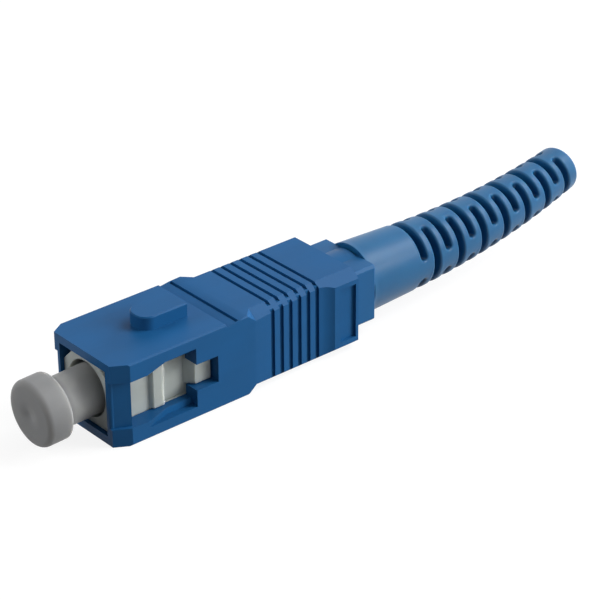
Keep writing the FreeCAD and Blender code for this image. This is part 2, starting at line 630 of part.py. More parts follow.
def dust_cap():
    """The push-on cap: a round head to hold and a hollow neck over the ferrule.

    It sits loose enough to droop a little about the neck's rear end.
    """
    x0, x1, r = CAP_HEAD_FRONT, CAP_HEAD_REAR, CAP_HEAD_R
    f, b, c = CAP_FRONT_EDGE, CAP_REAR_EDGE, CAP_MOUTH_CHAMFER
    bore_end = FERRULE_TIP - CAP_TIP_ROOM
    outline = [(bore_end, 0), (x0, 0)]
    outline += rounded_corner(x0 + f, r - f, f, 180, 90)
    outline += [(x1 - b, r), (x1, r - b)]
    outline += [(x1, CAP_NECK_R), (CAP_NECK_REAR - c, CAP_NECK_R), (CAP_NECK_REAR, CAP_NECK_R - c),
                (CAP_NECK_REAR, cap_bore_r + c), (CAP_NECK_REAR - c, cap_bore_r), (bore_end, cap_bore_r)]
    cap = turned(outline)
    cap.rotate(V(CAP_NECK_REAR, 0, 0), V(0, 1, 0), -CAP_DROOP_DEG)
    return cap


PIECES = {
    "coupling_sleeve": coupling_sleeve,
    "plug_frame": plug_frame,
    "rear_body": rear_body,
    "ferrule": ferrule,
    "ferrule_flange": ferrule_flange,
    "fibre_guide_tube": fibre_guide_tube,
    "spring": spring,
    "stop_ring": stop_ring,
    "crimp_sleeve": crimp_sleeve,
    "boot": boot,
    "dust_cap": dust_cap,
}

for name, make in PIECES.items():
    make().exportStep("parts/" + name + ".step")
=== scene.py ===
import math

import bmesh
import bpy
import numpy as np
from mathutils import Matrix, Vector


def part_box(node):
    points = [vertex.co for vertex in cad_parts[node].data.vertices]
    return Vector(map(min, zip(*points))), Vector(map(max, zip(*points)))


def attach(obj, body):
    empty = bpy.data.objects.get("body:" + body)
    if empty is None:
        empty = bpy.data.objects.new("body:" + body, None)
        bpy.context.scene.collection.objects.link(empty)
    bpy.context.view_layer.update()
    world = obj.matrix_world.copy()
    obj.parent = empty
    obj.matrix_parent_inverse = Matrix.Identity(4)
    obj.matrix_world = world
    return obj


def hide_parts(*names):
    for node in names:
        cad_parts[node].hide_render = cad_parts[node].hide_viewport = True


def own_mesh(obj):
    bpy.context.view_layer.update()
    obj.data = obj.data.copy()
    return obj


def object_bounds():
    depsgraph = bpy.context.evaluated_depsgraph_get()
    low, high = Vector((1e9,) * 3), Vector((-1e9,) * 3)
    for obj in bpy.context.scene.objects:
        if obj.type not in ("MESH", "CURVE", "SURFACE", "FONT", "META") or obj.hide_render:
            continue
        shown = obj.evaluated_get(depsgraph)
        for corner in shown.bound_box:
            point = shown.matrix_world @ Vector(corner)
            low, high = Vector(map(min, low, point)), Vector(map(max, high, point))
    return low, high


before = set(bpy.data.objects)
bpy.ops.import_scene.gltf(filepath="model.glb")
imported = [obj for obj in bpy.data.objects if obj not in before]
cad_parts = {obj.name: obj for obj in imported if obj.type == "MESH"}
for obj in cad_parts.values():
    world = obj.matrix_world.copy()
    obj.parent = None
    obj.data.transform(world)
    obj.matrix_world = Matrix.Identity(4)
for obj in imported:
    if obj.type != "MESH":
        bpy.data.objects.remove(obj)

cad_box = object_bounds()
MM = 0.001


# Ferrule: the white ceramic pin that holds the fibre in line.
# It is sintered zirconia, ground on the outside to a micrometre and polished
# at its tip, with a hairline bore that funnels out at the rear.
ZIRCONIA_WHITE = (0.80, 0.79, 0.74)
FERRULE_CHAMFER = 0.35 * MM
TIP_POLISHED_OFF = 0.02 * MM
FIBRE_HOLE_R = 0.0625 * MM
FUNNEL_R = 0.45 * MM
FUNNEL_LENGTH = 1.0 * MM
EASED = 0.03 * MM
SEAM = 0.001 * MM
SLIVER = 0.0005 * MM
GRAIN_RELIEF = 0.01 * MM


def skin_mesh(name, sheets, material):
    """A mesh from sheets of points, each an array (rows, columns, 3), joined where borders meet."""
    points, faces, base = [], [], 0
    for sheet in sheets:
        rows, columns = sheet.shape[:2]
        index = np.arange(rows * columns).reshape(rows, columns) + base
        quads = np.stack([index[:-1, :-1], index[1:, :-1], index[1:, 1:], index[:-1, 1:]], axis=-1)
        points.append(sheet.reshape(-1, 3))
        faces.append(quads.reshape(-1, 4))
        base += rows * columns
    mesh = bpy.data.meshes.new(name)
    mesh.from_pydata(np.concatenate(points), [], np.concatenate(faces))
    form = bmesh.new()
    form.from_mesh(mesh)
    bmesh.ops.remove_doubles(form, verts=form.verts, dist=SEAM)
    bmesh.ops.dissolve_degenerate(form, edges=form.edges, dist=SLIVER)
    bmesh.ops.recalc_face_normals(form, faces=form.faces)
    form.to_mesh(mesh)
    form.free()
    mesh.shade_smooth()
    mesh.materials.append(material)
    piece = bpy.data.objects.new(name, mesh)
    bpy.context.scene.collection.objects.link(piece)
    return piece


def arc(x, r, radius, first, last, steps):
    """A circular arc between two angles in degrees: x plus radius cos a, and r plus radius sin a."""
    turn = np.radians(np.linspace(first, last, steps))
    return np.stack([x + radius * np.cos(turn), r + radius * np.sin(turn)], axis=-1)


def spun(profile, steps=96):
    """A profile of (x, r) points carried round the fibre's axis: y is r cos a and z is r sin a."""
    turn = np.linspace(0, 2 * math.pi, steps + 1)
    x = np.repeat(profile[:, :1], len(turn), axis=1)
    return np.stack([x, profile[:, 1:] * np.cos(turn), profile[:, 1:] * np.sin(turn)], axis=-1)


def placed(tree, kind, inputs=None, **settings):
    """A node with its settings. Each named or numbered input is linked to a socket or set to a value."""
    node = tree.nodes.new(kind)
    for name, value in settings.items():
        setattr(node, name, value)
    for name, value in (inputs or {}).items():
        if isinstance(value, bpy.types.NodeSocket):
            tree.links.new(value, node.inputs[name])
        else:
            node.inputs[name].default_value = value
    return node


def maths(tree, operation, *values):
    """The result of one Math node on sockets or numbers."""
    return placed(tree, "ShaderNodeMath", dict(enumerate(values)), operation=operation).outputs[0]


def finish_group(name, numbers):
    """A shader node group from a colour and numbers to colour, roughness and normal, with its ends."""
    group = bpy.data.node_groups.new(name, "ShaderNodeTree")
    face = group.interface
    face.new_socket("Colour", in_out="INPUT", socket_type="NodeSocketColor")
    for number, value in numbers.items():
        face.new_socket(number, in_out="INPUT", socket_type="NodeSocketFloat").default_value = value
    face.new_socket("Colour", in_out="OUTPUT", socket_type="NodeSocketColor")
    face.new_socket("Roughness", in_out="OUTPUT", socket_type="NodeSocketFloat")
    face.new_socket("Normal", in_out="OUTPUT", socket_type="NodeSocketVector")
    return group, placed(group, "NodeGroupInput").outputs, placed(group, "NodeGroupOutput").inputs


def grained(group, place, pitch, strength, detail):
    """A normal from a Bump node on fine noise, whose scale is one over the pitch in millimetres."""
    scale = maths(group, "DIVIDE", 1 / MM, pitch)
    noise = placed(group, "ShaderNodeTexNoise", {"Vector": place, "Scale": scale, "Detail": detail})
    return placed(group, "ShaderNodeBump", {
        "Height": noise.outputs["Fac"], "Strength": strength, "Distance": GRAIN_RELIEF}).outputs[0]


def lathe_lines():
    """Shader group for turned and ground rounds: fine rings along X, and a slow change of tone.

    The colour is scaled by 1 less a loss, which is a slow noise times the tarnish, and 0.8 of
    the loss is added to the roughness. The rings are a noise stretched fifty times across X.
    """
    group, take, give = finish_group(
        "lathe lines", {"Ring Pitch": 0.1, "Ring Depth": 0.3, "Gloss Roughness": 0.2, "Tarnish": 0.1})
    place = placed(group, "ShaderNodeTexCoord").outputs["Object"]
    stain = placed(group, "ShaderNodeTexNoise", {"Vector": place, "Scale": 700, "Detail": 5})
    loss = maths(group, "MULTIPLY", stain.outputs["Fac"], take["Tarnish"])
    tone = placed(group, "ShaderNodeVectorMath", {
        0: take["Colour"], "Scale": maths(group, "SUBTRACT", 1, loss)}, operation="SCALE")
    along = placed(group, "ShaderNodeVectorMath", {0: place, 1: (1, 0.02, 0.02)}, operation="MULTIPLY")
    rings = grained(group, along.outputs[0], take["Ring Pitch"], take["Ring Depth"], detail=3)
    group.links.new(tone.outputs[0], give["Colour"])
    group.links.new(maths(group, "MULTIPLY_ADD", loss, 0.8, take["Gloss Roughness"]), give["Roughness"])
    group.links.new(rings, give["Normal"])
    return group


def finished(name, group, values):
    """A material whose colour, roughness and normal come from a finish group with its own values."""
    material = bpy.data.materials.new(name)
    material.use_nodes = True
    tree = material.node_tree
    finish = placed(tree, "ShaderNodeGroup", values, node_tree=group).outputs
    shader = tree.nodes["Principled BSDF"]
    tree.links.new(finish["Colour"], shader.inputs["Base Color"])
    tree.links.new(finish["Roughness"], shader.inputs["Roughness"])
    tree.links.new(finish["Normal"], shader.inputs["Normal"])
    return material, shader


def machined(name, colour, metallic, pitch, depth, roughness, tarnish):
    """A turned or ground finish that takes its tone, gloss and rings from the lathe lines group."""
    group = bpy.data.node_groups.get("lathe lines") or lathe_lines()
    material, shader = finished(name, group, {
        "Colour": (*colour, 1), "Ring Pitch": pitch, "Ring Depth": depth,
        "Gloss Roughness": roughness, "Tarnish": tarnish})
    shader.inputs["Metallic"].default_value = metallic
    return material


tip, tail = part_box("ferrule")
tip_face = tip.x + TIP_POLISHED_OFF
pin_r = -tip.z
chamfer_foot = pin_r - FERRULE_CHAMFER
pin_profile = np.concatenate([
    [[tip_face, FIBRE_HOLE_R]],
    arc(tip_face + EASED, chamfer_foot - EASED, EASED, 180, 135, 3),
    arc(tip.x + FERRULE_CHAMFER, pin_r - EASED, EASED, 135, 90, 3),
    arc(tail.x - EASED, pin_r - EASED, EASED, 90, 0, 3),
    [[tail.x, FUNNEL_R], [tail.x - FUNNEL_LENGTH, FIBRE_HOLE_R], [tip_face, FIBRE_HOLE_R]],
])
zirconia = machined("ground zirconia", ZIRCONIA_WHITE, metallic=0, pitch=0.05, depth=0.05,
                    roughness=0.12, tarnish=0.06)
pin = skin_mesh("ferrule_pin", [spun(pin_profile)], zirconia)
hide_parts("ferrule")
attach(pin, "ferrule_assembly")


# Ferrule flange: the collar, cup and tail tube pressed on the ferrule.
# It is turned from stainless bar, with four slots milled in its collar so
# that the ferrule can be set in any quarter turn when it is tuned.
FLANGE_STEEL = (0.58, 0.57, 0.54)

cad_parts["ferrule_flange"].material_slots[0].material = machined(
    "turned stainless", FLANGE_STEEL, metallic=1, pitch=0.09, depth=0.5, roughness=0.24, tarnish=0.12)


# Fibre guide tube: the thin liner in the flange's tail.
# It is an extruded tube of white polymer, pushed in to lead the fibre to the ferrule.
LINER_WHITE = (0.74, 0.74, 0.71)
DUST_GREY = (0.45, 0.47, 0.48)
DUST_SIZE = 0.07
DUST_CHOICE = 0.93


def moulded_skin():
    """Shader group for plastic: slow clouding, flow marks along X, a few specks of dust and grain.

    The colour is scaled by 1 plus each noise, swung between -2 and 2, times its strength. Dust
    is where a cell's middle is near and the cell's own number is high. The cloud's noise times
    0.12 is added to the roughness.
    """
    group, take, give = finish_group("moulded skin", {
        "Clouding": 0.06, "Flow Marks": 0.04, "Dust": 0.3, "Gloss Roughness": 0.4,
        "Grain Pitch": 0.1, "Grain Height": 0.2})
    place = placed(group, "ShaderNodeTexCoord").outputs["Object"]
    drawn = placed(group, "ShaderNodeVectorMath", {0: place, 1: (0.08, 1, 1)}, operation="MULTIPLY")
    cloud = placed(group, "ShaderNodeTexNoise", {"Vector": place, "Scale": 260, "Detail": 4})
    flow = placed(group, "ShaderNodeTexNoise", {"Vector": drawn.outputs[0], "Scale": 900, "Detail": 3})
    change = 1
    for noise, strength in ((cloud, "Clouding"), (flow, "Flow Marks")):
        swing = maths(group, "MULTIPLY_ADD", noise.outputs["Fac"], 4, -2)
        change = maths(group, "MULTIPLY_ADD", swing, take[strength], change)
    tinted = placed(group, "ShaderNodeVectorMath", {
        0: take["Colour"], "Scale": change}, operation="SCALE")

    cells = placed(group, "ShaderNodeTexVoronoi", {"Vector": place, "Scale": 1100}).outputs
    speck = maths(group, "MULTIPLY", maths(group, "LESS_THAN", cells["Distance"], DUST_SIZE),
                  maths(group, "GREATER_THAN", cells["Color"], DUST_CHOICE))
    dusty = placed(group, "ShaderNodeMix", {
        "Factor": maths(group, "MULTIPLY", speck, take["Dust"]),
        "A": tinted.outputs[0], "B": (*DUST_GREY, 1)}, data_type="RGBA")

    shine = maths(group, "MULTIPLY_ADD", cloud.outputs["Fac"], 0.12, take["Gloss Roughness"])
    grain = grained(group, place, take["Grain Pitch"], take["Grain Height"], detail=2)
    group.links.new(dusty.outputs["Result"], give["Colour"])
    group.links.new(shine, give["Roughness"])
    group.links.new(grain, give["Normal"])
    return group


def plastic(name, colour, shine, roughness, grain=(0.1, 0.3), marks=(0.05, 0.03, 0.3)):
    """A plastic finish. The grain is pitch and height, and the marks are clouding, flow and dust."""
    group = bpy.data.node_groups.get("moulded skin") or moulded_skin()
    material, shader = finished(name, group, {
        "Colour": (*colour, 1), "Gloss Roughness": roughness, "Grain Pitch": grain[0],
        "Grain Height": grain[1], "Clouding": marks[0], "Flow Marks": marks[1], "Dust": marks[2]})
    shader.inputs["Specular IOR Level"].default_value = shine
    return material


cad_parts["fibre_guide_tube"].material_slots[0].material = plastic(
    "extruded liner", LINER_WHITE, shine=0.5, roughness=0.30, grain=(0.3, 0.1), marks=(0.03, 0.02, 0))


# Plug frame: the inner moulding seen through the windows and round the cap.
# It is natural polyester, moulded in one piece, and takes the adapter's
# latches behind the ridge on each side. A lug sits in each window's slot.
FRAME_NATURAL = (0.43, 0.465, 0.445)
FRAME_EDGE = 0.18 * MM
FRAME_MILKY_DEPTH = 1.0 * MM
MILKY_REACH = (1.0, 0.95, 0.85)
LOOSE_CORNERS = 0.002 * MM
ONE_PLANE = math.radians(1)
CREASE = math.radians(18)
EDGE_SEGMENTS = 3


def softened_copy(name, node, width, material):
    """A copy of a CAD node with its loose triangles joined and every crease rolled to a radius."""
    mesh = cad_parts[node].data.copy()
    piece = bpy.data.objects.new(name, mesh)
    bpy.context.scene.collection.objects.link(piece)
    form = bmesh.new()
    form.from_mesh(mesh)
    bmesh.ops.remove_doubles(form, verts=form.verts, dist=LOOSE_CORNERS)
    bmesh.ops.dissolve_limit(form, angle_limit=ONE_PLANE, verts=form.verts, edges=form.edges)
    form.to_mesh(mesh)
    form.free()
    mesh.shade_smooth()
    roll = piece.modifiers.new("edge radius", "BEVEL")
    roll.width = width
    roll.segments = EDGE_SEGMENTS
    roll.limit_method = "ANGLE"
    roll.angle_limit = CREASE
    flat = piece.modifiers.new("flat faces", "WEIGHTED_NORMAL")
    flat.keep_sharp = True
    mesh.materials.clear()
    mesh.materials.append(material)
    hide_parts(node)
    return piece


def milky(material, weight, depth):
    """Lets light scatter under a plastic's skin, to a depth in metres, red further than blue."""
    shader = material.node_tree.nodes["Principled BSDF"]
    shader.inputs["Subsurface Weight"].default_value = weight
    shader.inputs["Subsurface Radius"].default_value = MILKY_REACH
    shader.inputs["Subsurface Scale"].default_value = depth
    return material


polyester = plastic("natural polyester", FRAME_NATURAL, shine=0.25, roughness=0.42,
                    marks=(0.04, 0.03, 0))
inner = softened_copy("frame_moulding", "plug_frame", FRAME_EDGE,
                      milky(polyester, 1.0, FRAME_MILKY_DEPTH))
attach(inner, "plug")


# Spring: the coil that presses the ferrule forward against its mate.
# It is cold wound from drawn stainless wire, with its last turn at each end
# closed up to the next, and it sits round the flange's cup inside the frame.
WIRE_STEEL = (0.52, 0.52, 0.52)
WIRE_R = 0.25 * MM
COIL_R = 1.975 * MM
OPEN_TURNS = 5
CLOSED_TURNS = 1
CLOSED_PITCH = 2.04 * WIRE_R
STEPS_A_TURN = 40
WIRE_STEPS = 12


def wound(front, rear):
    """Round wire on a helix: closed turns advance one wire's width each, and the rest is shared.

    The wire's circle lies across the helix's own direction, between the radial line and the
    line square to it, and its ends are closed to a point.
    """
    turns = OPEN_TURNS + 2 * CLOSED_TURNS
    along = np.linspace(0, turns, turns * STEPS_A_TURN + 1)
    first, last, closed = front + WIRE_R, rear - WIRE_R, CLOSED_TURNS * CLOSED_PITCH
    x = np.interp(along, [0, CLOSED_TURNS, turns - CLOSED_TURNS, turns],
                  [first, first + closed, last - closed, last])
    turn = 2 * math.pi * along
    centre = np.stack([x, COIL_R * np.cos(turn), COIL_R * np.sin(turn)], axis=-1)
    forward = np.gradient(centre, axis=0)
    forward /= np.linalg.norm(forward, axis=1, keepdims=True)
    radial = np.stack([np.zeros_like(x), np.cos(turn), np.sin(turn)], axis=-1)
    square = np.cross(forward, radial)
    round_wire = np.linspace(0, 2 * math.pi, WIRE_STEPS + 1)[None, :, None]
    size = np.full(len(x), WIRE_R)
    size[[0, -1]] = 0
    ring = np.cos(round_wire) * radial[:, None] + np.sin(round_wire) * square[:, None]
    return centre[:, None] + size[:, None, None] * ring


spring_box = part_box("spring")
coil = skin_mesh("spring_coil", [wound(spring_box[0].x, spring_box[1].x)], machined(
    "drawn stainless wire", WIRE_STEEL, metallic=1, pitch=0.4, depth=0.2, roughness=0.28, tarnish=0.2))
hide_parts("spring")
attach(coil, "ferrule_assembly")
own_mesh(coil)


# Stop ring and crimp sleeve: the spring's rear seat, with the barrel that the
# cable's yarn is crimped on. Both are turned from brass and nickel plated, and
# the boot and the rear body cover them.
NICKEL_ON_BRASS = (0.60, 0.57, 0.51)

nickel = machined("nickel on brass", NICKEL_ON_BRASS, metallic=1, pitch=0.12, depth=0.4, roughness=0.20,
                  tarnish=0.15)
for node in ("stop_ring", "crimp_sleeve"):
    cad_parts[node].material_slots[0].material = nickel


# Rear body: the blue block behind the grip, snapped into the frame.
# Its square flange and round collar are one moulding, glossier than the sleeve.
REAR_BLUE = (0.014, 0.096, 0.240)
REAR_EDGE = 0.14 * MM

rear = softened_copy("rear_block", "rear_body", REAR_EDGE, plastic(
    "rear body polyester", REAR_BLUE, shine=0.15, roughness=0.30, grain=(0.12, 0.15)))
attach(rear, "plug")


# Boot: the bend relief pushed over the crimp sleeve behind the rear body.
# It is moulded from soft elastomer, with round-ended slots in rows that take
# turns, above and below then left and right, and it has taken a slight set.
BOOT_BLUE = (0.010, 0.103, 0.238)
BOOT_MILKY_DEPTH = 0.5 * MM
BOOT_ROOT_R = 3.27 * MM
BOOT_TAIL_R = 2.13 * MM
BOOT_LENGTH = 27.35 * MM
BOOT_BEND = math.radians(11.7)
BOOT_BEND_ROLL = math.radians(54)
BOOT_BORE_R = 1.05 * MM
BOOT_FRONT_ROUND = 0.07 * MM
BOOT_MOUTH_R = 2.25 * MM
BOOT_MOUTH_DEPTH = 4.97 * MM
BOOT_MOUTH_ROUND = 0.1 * MM
TAIL_RING = 1.37 * MM
TAIL_ROUND = 0.42 * MM
TAIL_BORE_ROUND = 0.08 * MM
SLOT_ROWS = 14
SLOT_FIRST = 6.12 * MM
SLOT_WIDTH = 0.72 * MM
SLOT_CAD_WIDTH = 0.84 * MM
SLOT_HALF_TURN = math.radians(72)
SLOT_ROLLS = math.radians(-3), 0
SLOT_RIM = 0.2 * MM
TURN_STEPS = 36
END_STEPS = 12
slot_pitch = (BOOT_LENGTH - TAIL_RING - SLOT_CAD_WIDTH / 2 - SLOT_FIRST) / (SLOT_ROWS - 1)
boot_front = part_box("boot")[0].x
boot_straight = SLOT_FIRST - SLOT_CAD_WIDTH / 2


def boot_radius(s):
    """The boot tapers in a straight line from its root radius to its tail radius."""
    return BOOT_ROOT_R + (BOOT_TAIL_R - BOOT_ROOT_R) * s / BOOT_LENGTH


def on_boot(s, turn, r):
    """Place at distance s along the centre line, turn from the top towards +Y, and radius r.

    The line is straight and then a circular arc. The radius is laid out along the arc's
    own normal and the hinge that it bends about, so each section stays square to the line.
    """
    bend_r = (BOOT_LENGTH - boot_straight) / BOOT_BEND
    angle = np.maximum(s - boot_straight, 0) / bend_r
    along = np.array([1.0, 0, 0])
    side = np.array([0, math.sin(BOOT_BEND_ROLL), math.cos(BOOT_BEND_ROLL)])
    hinge = np.array([0, -math.cos(BOOT_BEND_ROLL), math.sin(BOOT_BEND_ROLL)])
    out = r * np.cos(turn - BOOT_BEND_ROLL)
    across = -r * np.sin(turn - BOOT_BEND_ROLL)
    forward = boot_front + np.minimum(s, boot_straight) + bend_r * np.sin(angle) - out * np.sin(angle)
    lift = bend_r * (1 - np.cos(angle)) + out * np.cos(angle)
    return forward[..., None] * along + lift[..., None] * side + across[..., None] * hinge


def slot_loop(half_width, flat_turn, around):
    """A round-ended outline about its middle: two flanks and two half circles, as (s, turn) arrays."""
    flank = np.linspace(-1, 1, TURN_STEPS, endpoint=False)
    swing = np.linspace(0, math.pi, END_STEPS, endpoint=False)
    s = np.concatenate([half_width * np.ones(TURN_STEPS), half_width * np.cos(swing)])
    turn = np.concatenate([flat_turn * flank, flat_turn + half_width * np.sin(swing) / around])
    return np.concatenate([s, -s]), np.concatenate([turn, -turn])


def cell_loop(half_pitch, half_turn):
    """The rectangle about one slot, with as many points on each side as the slot's outline has."""
    flank = np.linspace(-1, 1, TURN_STEPS, endpoint=False)
    side = np.linspace(1, -1, END_STEPS, endpoint=False)
    s = np.concatenate([half_pitch * np.ones(TURN_STEPS), half_pitch * side])
    turn = np.concatenate([half_turn * flank, half_turn * np.ones(END_STEPS)])
    return np.concatenate([s, -s]), np.concatenate([turn, -turn])


def slot_cell(row, quarter):
    """One slot and the skin about it, in layers: the bore, the slot's wall, its rim and the outside.

    Each layer is the slot's outline, widened by the rim's rounding, blended towards the cell's
    rectangle, and lifted from the bore to the tapered outside less the rim's drop.
    """
    middle = SLOT_FIRST + row * slot_pitch
    around = boot_radius(middle)
    flat_turn = SLOT_HALF_TURN - SLOT_WIDTH / 2 / around
    bore = np.array([1, 0.66, 0.33, 0])
    wall = np.array([0.25, 0.5, 0.75])
    rim = np.radians(np.linspace(0, 90, 6))
    skin = np.array([0.2, 0.45, 0.7, 1])
    widen = np.concatenate([0 * bore, 0 * wall, SLOT_RIM * (1 - np.cos(rim)), SLOT_RIM + 0 * skin])
    blend = np.concatenate([bore, 0 * wall, 0 * rim, skin])[:, None]
    height = np.concatenate([0 * bore, wall, np.ones(len(rim) + len(skin))])[:, None]
    drop = np.concatenate([0 * bore, SLOT_RIM * wall, SLOT_RIM * (1 - np.sin(rim)), 0 * skin])[:, None]
    cell_s, cell_turn = cell_loop(slot_pitch / 2, math.pi / 2)
    loops = [slot_loop(SLOT_WIDTH / 2 + extra, flat_turn, around) for extra in widen]
    s = middle + np.array([loop[0] for loop in loops]) * (1 - blend) + cell_s * blend
    turn = np.array([loop[1] for loop in loops]) + SLOT_ROLLS[row % 2]
    turn = turn * (1 - blend) + cell_turn * blend
    r = BOOT_BORE_R + (boot_radius(s) - BOOT_BORE_R) * height - drop
    s, turn, r = (np.concatenate([a, a[:, :1]], axis=1) for a in (s, turn, r))
    return on_boot(s, turn + math.pi / 2 * (row % 2) + math.pi * quarter, r)


def boot_turned(profile):
    """A profile of (s, r) points carried round the centre line."""
    turn = np.linspace(0, 2 * math.pi, 2 * TURN_STEPS + 1)
    s = np.repeat(profile[:, :1], len(turn), axis=1)
    r = np.repeat(profile[:, 1:], len(turn), axis=1)
    return on_boot(s, np.broadcast_to(turn, s.shape), r)


first_edge = SLOT_FIRST - slot_pitch / 2
last_edge = SLOT_FIRST + (SLOT_ROWS - 0.5) * slot_pitch
root_s = np.linspace(first_edge, 1.2 * BOOT_FRONT_ROUND, 12)
root_profile = np.concatenate([
    np.stack([root_s, boot_radius(root_s)], axis=-1),
    arc(BOOT_FRONT_ROUND, boot_radius(0) - BOOT_FRONT_ROUND, BOOT_FRONT_ROUND, 90, 180, 5),
    arc(BOOT_MOUTH_ROUND, BOOT_MOUTH_R + BOOT_MOUTH_ROUND, BOOT_MOUTH_ROUND, 180, 270, 4),
    [[BOOT_MOUTH_DEPTH, BOOT_MOUTH_R], [BOOT_MOUTH_DEPTH, BOOT_BORE_R], [first_edge, BOOT_BORE_R]],
])
tail_s = BOOT_LENGTH - TAIL_ROUND
tail_profile = np.concatenate([
    [[last_edge, boot_radius(last_edge)]],
    arc(tail_s, boot_radius(tail_s) - TAIL_ROUND, TAIL_ROUND, 88, 0, 10),
    arc(BOOT_LENGTH - TAIL_BORE_ROUND, BOOT_BORE_R + TAIL_BORE_ROUND, TAIL_BORE_ROUND, 0, -90, 4),
    [[last_edge, BOOT_BORE_R]],
])
cells = [slot_cell(row, quarter) for row in range(SLOT_ROWS) for quarter in (0, 1)]
elastomer = plastic("boot elastomer", BOOT_BLUE, shine=0.36, roughness=0.34, grain=(0.16, 0.4))
boot = skin_mesh("boot_skin", cells + [boot_turned(root_profile), boot_turned(tail_profile)],
                 milky(elastomer, 0.6, BOOT_MILKY_DEPTH))
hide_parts("boot")
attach(boot, "plug")


# Coupling sleeve: the blue outer housing that slides on the frame.
# It is injection moulded in one piece from filled polyester, with the key, the
# windows and their cams, the finger scoops and the ribs all formed in the tool.
SLEEVE_BLUE = (0.010, 0.083, 0.222)
SLEEVE_EDGE = 0.1 * MM
KEY_FRONT = 5.2 * MM
KEY_HALF_WIDTH = 1.3 * MM
KEY_HEIGHT = 1.2 * MM
KEY_CAD_ROUND = 0.7 * MM
KEY_ROUND = 1.15 * MM
KEY_MARGIN = 0.01 * MM
KEY_FACE_DEPTH = 0.15 * MM
KEY_FACE_CUTS = np.linspace(-0.5, 0.5, 5) * MM


def fuller_nose(piece):
    """Rounds the key's nose more fully, with the larger KEY_ROUND in place of the solid's radius.

    A point's inset is the solid's radius less its distance from that rounding's centre, or its
    depth behind the flat. It moves along X alone, to the front plus the new radius less a root:
    that of the new radius less the inset, squared, less its distance past the new flat, squared.
    """
    roof = cad_box[1].z - KEY_HEIGHT - KEY_MARGIN
    face_end = KEY_FRONT + KEY_FACE_DEPTH
    nose_start, nose_end = KEY_FRONT - KEY_MARGIN, KEY_FRONT + KEY_CAD_ROUND + KEY_MARGIN
    form = bmesh.new()
    form.from_mesh(piece.data)
    for cut in KEY_FACE_CUTS:
        front = [f for f in form.faces if all(
            v.co.z > roof and v.co.x < face_end and abs(v.co.y) < KEY_HALF_WIDTH for v in f.verts)]
        edges = dict.fromkeys(e for f in front for e in f.edges)
        verts = dict.fromkeys(v for f in front for v in f.verts)
        bmesh.ops.bisect_plane(form, geom=[*front, *edges, *verts],
                               plane_co=(0, cut, 0), plane_no=(0, 1, 0))
    for vert in form.verts:
        x, y, z = vert.co
        aside = abs(y)
        if z < roof or not nose_start < x < nose_end or aside > KEY_HALF_WIDTH + KEY_MARGIN:
            continue
        past = max(0, aside - (KEY_HALF_WIDTH - KEY_CAD_ROUND))
        inset = x - KEY_FRONT
        if past:
            inset = KEY_CAD_ROUND - math.hypot(KEY_FRONT + KEY_CAD_ROUND - x, past)
        swing = max(0, aside - (KEY_HALF_WIDTH - KEY_ROUND))
        vert.co.x = KEY_FRONT + KEY_ROUND - math.sqrt(max(0, (KEY_ROUND - inset) ** 2 - swing ** 2))
    form.to_mesh(piece.data)
    form.free()


sleeve = softened_copy("sleeve_shell", "coupling_sleeve", SLEEVE_EDGE, plastic(
    "sleeve polyester", SLEEVE_BLUE, shine=0.13, roughness=0.38, grain=(0.1, 0.35)))
fuller_nose(sleeve)
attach(sleeve, "sleeve")


# Dust cap: a push-on cap of natural polyethylene over the ferrule.
# It is moulded with a round head to hold and a hollow neck, lets light
# through, and hangs a little low on the pin.
CAP_NATURAL = (0.24, 0.245, 0.25)
# Painted light: the neck's paler colour is a painted glow, standing in for light that the translucent
# head passes on to it.
CAP_NECK_PAINTED_LIGHT = (0.36, 0.365, 0.36)
CAP_MILKY_DEPTH = 2.5 * MM
CAP_FRONT = -5.25 * MM
CAP_HEAD_R = 2.855 * MM
CAP_HEAD_REAR = -2.95 * MM
CAP_FRONT_ROUND = 0.53 * MM
CAP_REAR_ROUND = 0.2 * MM
CAP_FILLET = 0.12 * MM
CAP_NECK_R = 2.12 * MM
CAP_NECK_REAR = 3.6 * MM
CAP_MOUTH_ROUND = 0.2 * MM
CAP_BORE_R = 1.43 * MM
CAP_BORE_END = -1.9 * MM
CAP_DROOP = math.radians(2)
GATE_R = 0.5 * MM
GATE_DEPTH = 0.05 * MM
NECK_LIGHT_FROM = CAP_HEAD_REAR + 0.15 * MM
NECK_LIGHT_TO = CAP_HEAD_REAR + 0.7 * MM


def drooped(sheet):
    """The sheet turned about the neck's rear end, so that the head hangs by the droop angle."""
    x, z = sheet[..., 0] - CAP_NECK_REAR, sheet[..., 2]
    level = x * math.cos(CAP_DROOP) - z * math.sin(CAP_DROOP) + CAP_NECK_REAR
    return np.stack([level, sheet[..., 1], x * math.sin(CAP_DROOP) + z * math.cos(CAP_DROOP)], axis=-1)


def painted_lit_neck(material):
    """Blends the head's colour to a paler neck's: painted light, a glow painted on the neck where the
    lamps leave it in shade.
    """
    tree = material.node_tree
    place = placed(tree, "ShaderNodeTexCoord").outputs["Object"]
    x = placed(tree, "ShaderNodeSeparateXYZ", {0: place}).outputs["X"]
    neck = placed(tree, "ShaderNodeMapRange", {
        "Value": x, "From Min": NECK_LIGHT_FROM, "From Max": NECK_LIGHT_TO})
    colour = placed(tree, "ShaderNodeValToRGB", {"Fac": neck.outputs["Result"]})
    for stop, tone in zip(colour.color_ramp.elements, (CAP_NATURAL, CAP_NECK_PAINTED_LIGHT)):
        stop.color = (*tone, 1)
    skin = next(node for node in tree.nodes if node.type == "GROUP")
    tree.links.new(colour.outputs["Color"], skin.inputs["Colour"])
    return material


